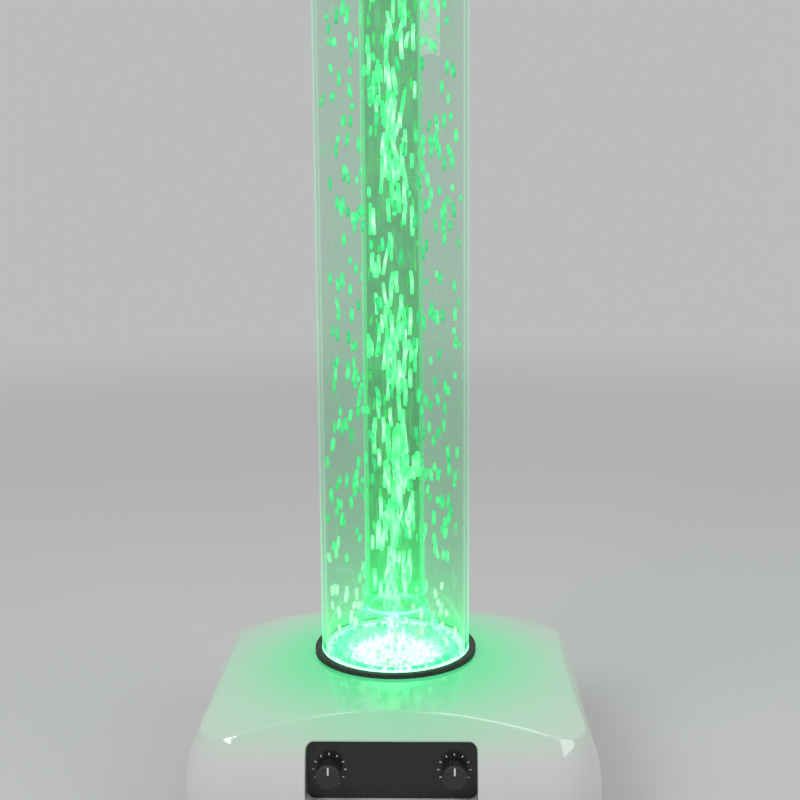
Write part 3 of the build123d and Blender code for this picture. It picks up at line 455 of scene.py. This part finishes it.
panel_black = dark_plastic("panel_black", rgb(0.012, 0.012, 0.013), 0.16, 1.4 * mm, 0.01 * mm)
knob_black = dark_plastic("knob_black", rgb(0.018, 0.018, 0.019), 0.38, 0.35 * mm, 0.03 * mm)
part_black = dark_plastic("part_black", rgb(0.022, 0.022, 0.024), 0.34, 0.6 * mm, 0.03 * mm)
plate_grey = dark_plastic("plate_grey", rgb(0.07, 0.07, 0.075), 0.48, 0.8 * mm, 0.05 * mm)
lead_black = dark_plastic("lead_black", rgb(0.02, 0.02, 0.02), 0.42, 0.5 * mm, 0.01 * mm)
seal_rubber = rubber("seal_rubber", rgb(0.012, 0.013, 0.012))
foot_rubber = rubber("foot_rubber", rgb(0.03, 0.03, 0.03))
print("dark plastics and rubber made")

# %% [markdown]
# Metal is all reflection, so its colour hardly matters and its roughness does. Turned and
# brushed pieces get noise that is stretched along one axis, which reads as fine tool marks.

# %% Metal
tool_mark = 0.6 * mm
smear_size = 12 * mm


def metal(name, colour, roughness, stretch):
    """Metal with tool marks, which run along the axis whose stretch is smallest."""
    finish = Finish(name)
    marks = finish.noise(tool_mark, 3, 0.7, stretch)
    smears = finish.noise(smear_size, 3)
    duller = rgb(*(part * 0.8 for part in colour[:3]))
    paint = finish.mix(smears * 0.4, colour, duller)
    return finish.done(finish.surface(
        Base_Color=paint, Metallic=1.0, Roughness=marks * 0.16 + smears * 0.08 + roughness,
        Normal=finish.bump(marks, 0.006 * mm)))


turned_steel = metal("turned_steel", rgb(0.60, 0.60, 0.61), 0.18, (0.05, 1, 1))
screw_steel = metal("screw_steel", rgb(0.55, 0.56, 0.57), 0.22, (1, 1, 0.1))
mesh_steel = metal("mesh_steel", rgb(0.50, 0.51, 0.51), 0.28, (0.08, 1, 1))
pin_brass = metal("pin_brass", rgb(0.80, 0.62, 0.28), 0.16, (1, 0.05, 1))
print("metals made")

# %% [markdown]
# The pieces inside the base hardly show, but they are part of the lamp and get their own
# finishes too: a matte moulding for the socket, boards with a solder mask over copper, and
# diodes that glow. Copper tracks could be drawn one by one. From outside a pattern is enough, so
# the edges of a texture with square cells stand for them.

# %% Inner pieces
track_pitch = 5 * mm


def matte_white(name):
    """White moulding without a gloss."""
    finish = Finish(name)
    cloud = finish.noise(30 * mm, 3)
    paint = finish.mix(cloud, rgb(0.74, 0.75, 0.74), rgb(0.66, 0.67, 0.66))
    return finish.done(finish.surface(
        Base_Color=paint, Roughness=cloud * 0.1 + 0.45,
        Normal=finish.bump(finish.noise(0.7 * mm), 0.03 * mm)))


def board(name, mask, copper):
    """Solder mask with raised tracks under it."""
    finish = Finish(name)
    tracks = finish.node("ShaderNodeTexVoronoi", {"distance": "CHEBYCHEV"},
                         {"Vector": finish.place(), "Scale": 1 / track_pitch, "Randomness": 0.6})
    line = 1 - finish.between(tracks, 0.02, 0.10)
    return finish.done(finish.surface(
        Base_Color=finish.mix(line * 0.7, mask, copper), Roughness=line * 0.1 + 0.3,
        Normal=finish.bump(line, 0.03 * mm)))


def lit_diode(name):
    """Diode that shines green, paler in places."""
    finish = Finish(name)
    core = finish.noise(1.2 * mm, 1)
    glow = finish.mix(core, rgb(0.10, 1.0, 0.35), rgb(0.45, 1.0, 0.6))
    return finish.done(finish.surface(
        Base_Color=rgb(0.7, 0.9, 0.75), Roughness=0.25, Emission_Color=glow,
        Emission_Strength=4.0))


socket_white = matte_white("socket_white")
light_board = board("light_board", rgb(0.70, 0.72, 0.70), rgb(0.55, 0.45, 0.30))
control_green = board("control_green", rgb(0.015, 0.13, 0.05), rgb(0.05, 0.28, 0.12))
diode_glow = lit_diode("diode_glow")
print("inner pieces made")

# %% [markdown]
# The line on each knob is a separate white inlay, so that it stays sharp from close by. White
# print and white inlays on dark plastic soon look worn, and greyer specks show that. The marks
# round the knobs use the same finish.

# %% Pointer inlays
def inlay_white(name):
    """White plastic with greyer, rougher specks."""
    finish = Finish(name)
    wear = finish.between(finish.noise(0.8 * mm, 4, 0.7), 0.55, 0.75)
    return finish.done(finish.surface(
        Base_Color=finish.mix(wear * 0.4, rgb(0.80, 0.80, 0.78), rgb(0.45, 0.45, 0.44)),
        Roughness=wear * 0.2 + 0.4))


pointer_white = inlay_white("pointer_white")
print("inlays made")

# %% [markdown]
# The finishes now go onto the frame's pieces. A table of finish and names is shorter than a
# call for each piece, and the check after it says so if a piece was forgotten.

# %% Dress the frame
finish_of = {
    base_white: ["base_shell"],
    cap_white: ["top_cap"],
    outer_acrylic: ["outer_tube"],
    riser_acrylic: ["riser_tube"],
    fitting_acrylic: ["riser_stand", "riser_spider", "bead_deflector"],
    funnel_glow: ["bead_hopper"],
    seal_rubber: ["tube_seal"],
    foot_rubber: ["rubber_feet"],
    plate_grey: ["base_plate"],
    panel_black: ["control_panel"],
    knob_black: ["speed_knob", "colour_knob"],
    pointer_white: ["speed_pointer", "colour_pointer"],
    part_black: ["blower_housing", "blower_cover", "impeller", "board_parts", "speed_pot",
                 "colour_pot", "dc_inlet", "switch_body", "power_rocker"],
    lead_black: ["inlet_lead", "power_lead", "fan_lead", "led_lead"],
    nozzle_glow: ["air_nozzle"],
    socket_white: ["tube_socket"],
    light_board: ["led_board"],
    control_green: ["control_board"],
    diode_glow: ["leds"],
    mesh_steel: ["cap_mesh", "nozzle_screen"],
    turned_steel: ["fan_motor", "fan_bearings", "fan_shaft", "speed_shaft", "colour_shaft",
                   "pot_nuts", "inlet_nut"],
    screw_steel: ["base_screws", "socket_screws", "blower_screws", "cap_screws",
                  "deflector_screw"],
    pin_brass: ["inlet_pin"],
}
for material, names in finish_of.items():
    for name in names:
        for holder in nodes[name].material_slots:
            holder.material = material
dressed = {name for names in finish_of.values() for name in names}
print("still to be made as beads:", sorted(set(nodes) - dressed))

# %% [markdown]
# A bead in flight shows as a streak, because it moves while it is looked at: long and bright in
# the narrow riser, where the air is fast, and short in the wide space round it. Particles could
# do this, but a list of small rounded bars with a slight bend is easier to steer and gives a
# mesh that can be kept. Each bar is five rings between two tips, and stores how brightly it
# glows at every vertex, because a streak fades towards its ends. The shares of a round tip say
# how far along and how far out, in radii, the rings at 0, 45 and 90 degrees lie.

# %% Streaks
bead_radius = 1.5 * mm
usual_fade = 0.35
streak_sides = 8
tip_shares = ((0.0, 0.0), (0.293, 0.707), (1.0, 1.0))


class Streaks:
    """Rounded bars that are gathered into one piece."""

    def __init__(self):
        self.points = []
        self.faces = []
        self.glow = []

    def add(self, middle, along, length, radius, glow, fade=usual_fade, bend=0.0):
        """One bar round a middle point, with its glow there and the share lost at its ends."""
        along = Vector(along).normalized()
        side = along.orthogonal().normalized()
        other = along.cross(side)
        half = max(length / 2, radius)
        rings = [(share * radius - half, size * radius) for share, size in tip_shares]
        rings.append((0.0, radius))
        rings += [(-place, size) for place, size in reversed(rings[:3])]
        first = len(self.points)
        for place, size in rings:
            lean = bend * (place / half) ** 2
            centre = middle + along * place + side * lean
            count = streak_sides if size else 1
            for i in range(count):
                angle = 2 * pi * i / streak_sides
                self.points.append(centre + (side * cos(angle) + other * sin(angle)) * size)
                self.glow.append(glow * (1 - fade * (place / half) ** 2))
        self.join_rings(first, len(rings))

    def join_rings(self, first, count):
        """Faces between the points of one bar, from its first tip to its last."""
        last = first + 1 + (count - 2) * streak_sides
        for i in range(streak_sides):
            j = (i + 1) % streak_sides
            self.faces.append((first, first + 1 + j, first + 1 + i))
            for ring in range(count - 3):
                low = first + 1 + ring * streak_sides
                high = low + streak_sides
                self.faces.append((low + i, low + j, high + j, high + i))
            self.faces.append((last, last - streak_sides + i, last - streak_sides + j))

    def piece(self, name, material, node):
        """Makes the piece, which rides on the casing and stands for a node of the frame."""
        mesh = bpy.data.meshes.new(name)
        mesh.from_pydata(self.points, [], self.faces)
        mesh.shade_smooth()
        mesh.attributes.new("glow", "FLOAT", "POINT").data.foreach_set("value", self.glow)
        mesh.materials.append(material)
        made = bpy.data.objects.new(name, mesh)
        bpy.context.scene.collection.objects.link(made)
        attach(made, "casing")
        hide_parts(node)
        print(name, "has", len(self.faces), "faces")


# %% [markdown]
# The beads are white foam, but what reaches the eye is the green light that they scatter. Their
# own colour is kept dark, so that the studio's light doesn't wash the green out, and the stored
# glow is read off a ramp from deep green to nearly white.

# %% Glowing foam
pore_size = 0.5 * mm
pore_green = rgb(0.0, 0.35, 0.10)
foam_green = rgb(0.03, 0.30, 0.12)
foam_lights = ((0.0, (0.0, 0.10, 0.03)), (0.35, (0.0, 0.42, 0.12)), (0.62, (0.06, 0.85, 0.27)),
               (0.84, (0.36, 1.0, 0.52)), (1.0, (0.90, 1.0, 0.86)))


def glowing_foam(name, strength):
    """Foam whose light is read off the ramp by the glow that each vertex stores."""
    finish = Finish(name)
    glow = finish.node("ShaderNodeAttribute", {"attribute_name": "glow"}, output="Fac")
    pores = finish.noise(pore_size, 2, 0.6)
    light = finish.mix(pores * 0.18, finish.ramp(glow, *foam_lights), pore_green)
    return finish.done(finish.surface(
        Base_Color=foam_green, Roughness=pores * 0.2 + 0.55,
        Normal=finish.bump(pores, 0.05 * mm), Emission_Color=light,
        Emission_Strength=strength))


rising_glow = glowing_foam("rising_glow", 1.75)
falling_glow = glowing_foam("falling_glow", 1.1)
resting_glow = glowing_foam("resting_glow", 1.75)
print("foam made")

# %% [markdown]
# In the riser the beads shoot up from the nozzle as a narrow fountain, fill the bore and lean a
# little along its wall, so that their ends stay clear of it. The air is fastest along the axis,
# so the streaks there are the longest. They crowd in bursts, as the blower's air does, which a
# slow wave along the height gives. Near the foot they are closest together and so bright that
# they look white: a glow a little above 1 keeps more of a streak's length white. Every draw
# comes from one seeded generator, so the lamp looks the same each time.

# %% Rising beads
nozzle_level = top("air_nozzle")
fountain_radius = 9 * mm
fountain_height = 190 * mm
fountain_count = 70
rising_count = 330
rising_lengths = (12 * mm, 27 * mm)
rising_glows = (0.66, 1.0)
rising_sizes = (0.85, 1.1)
wall_gap = 2.2 * mm
nozzle_gap = 14 * mm
outlet_gap = 8 * mm
widening_height = riser_foot - nozzle_level + 50 * mm
burst_height = 175 * mm
burst_chance = 0.77
burst_swing = 0.38
usual_lean = 0.14
most_lean = 0.3
most_bend = 1.2 * mm
axis_length = 1.35
wall_loss = 0.4
foot_glow = 1.12
climb_loss = 0.22
fountain_boost = 0.4
most_glow = 1.1
fountain_crowding = 1.0
riser_crowding = 0.75
draw = random.Random(7)


def around_axis(radius, angle, level):
    """Point at a distance and a direction from the upright axis."""
    return Vector((radius * cos(angle), radius * sin(angle), level))


def rising_beads():
    """Long streaks in the riser and the fountain below it."""
    streaks = Streaks()
    low = nozzle_level + nozzle_gap
    high = riser_top - outlet_gap
    room = riser_bore - wall_gap
    made = 0
    while made < rising_count + fountain_count:
        in_fountain = made >= rising_count
        climb = (fountain_height if in_fountain else high - low) * draw.random()
        level = low + climb
        chance = burst_chance + burst_swing * sin(2 * pi * level / burst_height)
        if not in_fountain and draw.random() > chance:
            continue
        widened = min(1.0, (level - nozzle_level) / widening_height)
        wide = fountain_radius + (room - fountain_radius) * widened
        radius = wide * draw.random() ** (fountain_crowding if in_fountain else riser_crowding)
        length = draw.uniform(*rising_lengths) * (axis_length - wall_loss * radius / room)
        angle = draw.uniform(0, 2 * pi)
        lean = max(-most_lean, min(most_lean, draw.gauss(0, usual_lean)))
        along = (-lean * sin(angle), lean * cos(angle), 1)
        bright = draw.uniform(*rising_glows) * (foot_glow - climb_loss * climb / (high - low))
        bright += fountain_boost * max(0.0, 1 - climb / fountain_height)
        streaks.add(around_axis(radius, angle, level), along, length,
                    bead_radius * draw.uniform(*rising_sizes), min(most_glow, bright),
                    bend=draw.uniform(-most_bend, most_bend))
        made += 1
    streaks.piece("rising_streaks", rising_glow, "rising_beads")


rising_beads()

# %% [markdown]
# Clear fittings stand in the way of the beads outside the riser: a stand with three legs under
# it, and a spider with three arms at its top, at the same angles. A bead must not sit inside
# either. Testing each point against the meshes would be exact but slow, and a few distances do
# as well for such simple shapes.

# %% Where the fittings are
hub_radius = 31 * mm
leg_half = 3.5 * mm
leg_angles = [radians(90 + 120 * i) for i in range(3)]
spider_rim = 6 * mm
fitting_margin = 5 * mm
stand_low = bottom("riser_stand")
stand_high = top("riser_stand") + fitting_margin
spider_low = bottom("riser_spider") - fitting_margin
spider_high = top("riser_spider") + fitting_margin


def clear_of_fittings(place):
    """True where neither the stand nor the spider is."""
    distance = hypot(place.x, place.y)
    in_stand = stand_low < place.z < stand_high
    in_spider = spider_low < place.z < spider_high
    if not (in_stand or in_spider):
        return True
    if distance < hub_radius + bead_radius or in_spider and distance > tube_bore - spider_rim:
        return False
    return all(abs(place.x * sin(t) - place.y * cos(t)) > leg_half
               or place.x * cos(t) + place.y * sin(t) < 0 for t in leg_angles)


print("legs and arms at", [round(degrees(t)) for t in leg_angles])

# %% [markdown]
# Outside the riser the beads fall slowly and far apart, so their streaks are short, and some
# are hardly longer than the bead. The lit floor brightens the lowest ones from end to end. They
# are spread evenly over the ring between the tubes: a radius drawn evenly would crowd them
# inwards, so its square is drawn instead.

# %% Falling beads
falling_count = 820
falling_lengths = (6 * mm, 13 * mm)
falling_glows = (0.40, 0.72)
falling_sizes = (0.85, 1.05)
falling_leans = (0.09, 0.05)
falling_gap = 2.6 * mm
floor_gap = 6 * mm
floor_light = 110 * mm
floor_boost = 0.6


def add_falling(streaks):
    """Short streaks in the space between the tubes."""
    inner = riser_radius + falling_gap
    outer = tube_bore - falling_gap
    low = rim_level + floor_gap
    made = 0
    while made < falling_count:
        level = low + (riser_top - low) * draw.random()
        radius = sqrt(draw.uniform(inner ** 2, outer ** 2))
        place = around_axis(radius, draw.uniform(0, 2 * pi), level)
        length = draw.uniform(*falling_lengths)
        lean = draw.gauss(0, falling_leans[0])
        near_floor = max(0.0, 1 - (level - low) / floor_light)
        bright = draw.uniform(*falling_glows) + floor_boost * near_floor
        if clear_of_fittings(place):
            streaks.add(place, (lean, draw.gauss(0, falling_leans[1]), 1), length,
                        bead_radius * draw.uniform(*falling_sizes), min(1.0, bright),
                        fade=usual_fade * (1 - near_floor))
            made += 1
    print("falling beads", made)


# %% [markdown]
# Above the riser the beads slow down, spread under the deflector and turn over into the space
# outside. They are few, as they soon fall again. The further out one is, the more it points
# down, so a single share, from 0 near the axis to 1 at the wall, steers its place and direction.

# %% Turning beads
turning_count = 34
turning_start = 16 * mm
turning_glows = (0.4, 0.8)
turning_lengths = (5 * mm, 9 * mm)
turning_heights = (0.05, 0.75)
wall_dip = 0.6
outward_share = 0.8
first_climb = 0.9
direction_change = 1.7
outlet_clearance = 4 * mm
deflector_drop = bottom("bead_deflector") - riser_top


def add_turning(streaks):
    """A few streaks that turn over the riser's edge."""
    outer = tube_bore - falling_gap
    for i in range(turning_count):
        share = draw.random()
        radius = turning_start + (outer - turning_start) * share
        height = deflector_drop * (1 - wall_dip * share ** 2) * draw.uniform(*turning_heights)
        place = around_axis(radius, draw.uniform(0, 2 * pi), riser_top + outlet_clearance + height)
        outward = Vector((place.x, place.y, 0)).normalized() * outward_share
        streaks.add(place, (outward.x, outward.y, first_climb - direction_change * share),
                    draw.uniform(*turning_lengths), bead_radius, draw.uniform(*turning_glows))


def falling_beads():
    """All streaks outside the riser, as one piece."""
    streaks = Streaks()
    add_falling(streaks)
    add_turning(streaks)
    streaks.piece("falling_streaks", falling_glow, "falling_beads")


falling_beads()

# %% [markdown]
# On the funnel the beads lie one deep and slide towards the nozzle, closer together the nearer
# they come to it. Those in the middle hop, and hide the nozzle's screen. They are so close to the
# light that they look white there. A bead that lies still would be a round dot, but these jostle,
# so they are short streaks too.

# %% Beads on the funnel
throat_radius = 16.2 * mm
rim_width = 3.2 * mm
cone_radius = tube_bore - rim_width
resting_count = 520
hopping_count = 150
hop_height = 13 * mm
hop_reach = 1.9 * throat_radius
hop_crowding = 0.7
hop_lean = 0.2
lowest_hop = 1.3 * bead_radius
slide_crowding = 0.8
slide_rise = 0.1
resting_lift = 1.15 * bead_radius
throat_gap = 0.3 * mm
rim_gap = 2.1 * mm
jostle_lengths = (3.1 * mm, 4.4 * mm)
middle_glow = 1.55
glow_loss = 0.95
glow_spread = 0.12
least_glow = 0.5
funnel_fade = 0.12


def funnel_level(distance):
    """Height of the funnel's upper face at a distance from the axis."""
    share = max(0.0, min(1.0, (distance - throat_radius) / (cone_radius - throat_radius)))
    return nozzle_level + share * (rim_level - nozzle_level)


def beads_on_funnel():
    """Beads that lie on the funnel, and then those that hop over the nozzle."""
    streaks = Streaks()
    inner = throat_radius + throat_gap
    outer = cone_radius - rim_gap
    for i in range(resting_count + hopping_count):
        turn = draw.uniform(0, 2 * pi)
        if i >= resting_count:
            distance = hop_reach * draw.random() ** hop_crowding
            lift = draw.uniform(lowest_hop, hop_height)
            along = (hop_lean * cos(turn), hop_lean * sin(turn), 1)
        else:
            distance = inner + (outer - inner) * draw.random() ** slide_crowding
            lift = resting_lift
            along = (cos(turn), sin(turn), slide_rise)
        bright = middle_glow - glow_loss * distance / outer
        bright += draw.uniform(-glow_spread, glow_spread)
        place = around_axis(distance, draw.uniform(0, 2 * pi), funnel_level(distance) + lift)
        streaks.add(place, along, draw.uniform(*jostle_lengths), bead_radius,
                    max(least_glow, min(1.0, bright)), fade=funnel_fade)
    streaks.piece("funnel_beads", resting_glow, "hopper_beads")


beads_on_funnel()

# %% [markdown]
# Each control has a plain scale of eleven printed marks, with longer ones at both ends. They
# could be painted by the panel's material, but thin raised marks stay sharp from close by.

# %% Marks round the controls
mark_thickness = 0.12 * mm
mark_width = 0.7 * mm
mark_start = 11.6 * mm
mark_length = 1.8 * mm
mark_extra = 0.8 * mm
marks_each = 11
mark_sweep = radians(300)
box_faces = ((0, 1, 2, 3), (7, 6, 5, 4), (0, 4, 5, 1), (1, 5, 6, 2), (2, 6, 7, 3), (3, 7, 4, 0))


def dial_marks():
    """A thin box for each mark, all in one piece that rides on the casing."""
    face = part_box("control_panel")[0].y
    points, faces = [], []
    for name in ("speed_knob", "colour_knob"):
        low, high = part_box(name)
        centre = (low + high) / 2
        for i in range(marks_each):
            angle = mark_sweep * (i / (marks_each - 1) - 0.5)
            longer = mark_extra if i in (0, marks_each - 1) else 0
            out = Vector((sin(angle), 0, cos(angle)))
            side = Vector((cos(angle), 0, -sin(angle))) * mark_width / 2
            near = Vector((centre.x, face, centre.z)) + out * mark_start
            far = near + out * (mark_length + longer)
            proud = Vector((0, -mark_thickness, 0))
            first = len(points)
            corners = [near - side, near + side, far + side, far - side]
            points += corners + [corner + proud for corner in corners]
            faces += [[first + k for k in corner_row] for corner_row in box_faces]
    mesh = bpy.data.meshes.new("dial_marks")
    mesh.from_pydata(points, [], faces)
    mesh.materials.append(pointer_white)
    made = bpy.data.objects.new("dial_marks", mesh)
    bpy.context.scene.collection.objects.link(made)
    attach(made, "casing")
    return made


marks = dial_marks()
print("marks", len(marks.data.polygons) // len(box_faces))

# %% [markdown]
# The studio is a wide pale floor that melts into a background of the same colour. Near the lamp
# the floor is a real surface, so it takes the shadow and the green light; far from it, it
# becomes plain colour, so no horizon shows. What the eye, mirrors and clear plastic see of the
# world is that colour too, while the light that the world gives is set apart from it.

# %% Floor and background
background = rgb(0.50, 0.51, 0.51)
floor_colour = rgb(0.55, 0.555, 0.55)
floor_shade = rgb(0.52, 0.525, 0.52)
mottle_size = 0.35
floor_radius = 30.0
floor_corners = 96
melt_start = 0.9
melt_end = 3.2
world_light = 0.42


def studio_floor():
    """Round floor that turns into plain background colour far from the lamp."""
    finish = Finish("studio_floor")
    mottle = finish.noise(mottle_size, 4)
    paint = finish.mix(mottle * 0.25, floor_colour, floor_shade)
    near = finish.node("ShaderNodeBsdfDiffuse", inputs={"Color": paint})
    far = finish.node("ShaderNodeEmission", inputs={"Color": background})
    melt = finish.between(finish.from_axis(), melt_start, melt_end)
    material = finish.done(finish.node("ShaderNodeMixShader", inputs={0: melt, 1: near, 2: far}))
    turns = [2 * pi * i / floor_corners for i in range(floor_corners)]
    mesh = bpy.data.meshes.new("floor")
    mesh.from_pydata([around_axis(floor_radius, turn, 0) for turn in turns], [],
                     [list(range(floor_corners))])
    mesh.materials.append(material)
    floor = bpy.data.objects.new("floor", mesh)
    bpy.context.scene.collection.objects.link(floor)


def studio_world():
    """World that shows the background colour and lights at its own level."""
    world = bpy.data.worlds.new("studio_world")
    world.use_nodes = True
    tree = world.node_tree
    tree.nodes.clear()
    seen = add_node(tree, "ShaderNodeLightPath", output="Is Camera Ray")
    mirrored = Wire(seen.socket.node.outputs["Is Glossy Ray"])
    through = Wire(seen.socket.node.outputs["Is Transmission Ray"])
    plain = add_node(tree, "ShaderNodeBackground", inputs={"Color": background})
    light = add_node(tree, "ShaderNodeBackground",
                     inputs={"Color": rgb(1, 1, 1), "Strength": world_light})
    shown = (seen + mirrored + through).maths("MINIMUM", seen + mirrored + through, 1.0)
    both = add_node(tree, "ShaderNodeMixShader", inputs={0: shown, 1: light, 2: plain})
    add_node(tree, "ShaderNodeOutputWorld", inputs={"Surface": both})
    bpy.context.scene.world = world


studio_floor()
studio_world()
print("floor radius", floor_radius, "world light", world_light)

# %% [markdown]
# Soft light comes from large panels: a key from the front left, a weaker fill from the right,
# and a wide one high behind, whose mirror image in the glossy top of the base stays gentle
# because its light is spread over so much area. Their levels add up to about one with the
# world's, so colours render about as they are written. They don't show through the clear tubes.

# %% Lamps
# Each lamp has its place, the side of its square panel and its power in watts.
lamps = {
    "key": ((-1.7, -1.9, 2.3), 1.6, 46),
    "fill": ((2.1, -1.2, 1.6), 1.6, 18),
    "back": ((0.4, 1.0, 3.6), 2.2, 30),
}
aim = Vector((0, 0, 0.45))
for name, (place, side, power) in lamps.items():
    data = bpy.data.lights.new(name, "AREA")
    data.size = side
    data.energy = power
    lamp = bpy.data.objects.new(name, data)
    lamp.location = place
    lamp.rotation_euler = (aim - lamp.location).to_track_quat("-Z", "Y").to_euler()
    lamp.visible_transmission = False
    bpy.context.scene.collection.objects.link(lamp)
bpy.context.scene.view_settings.view_transform = "Standard"
print("lamps", len(lamps))
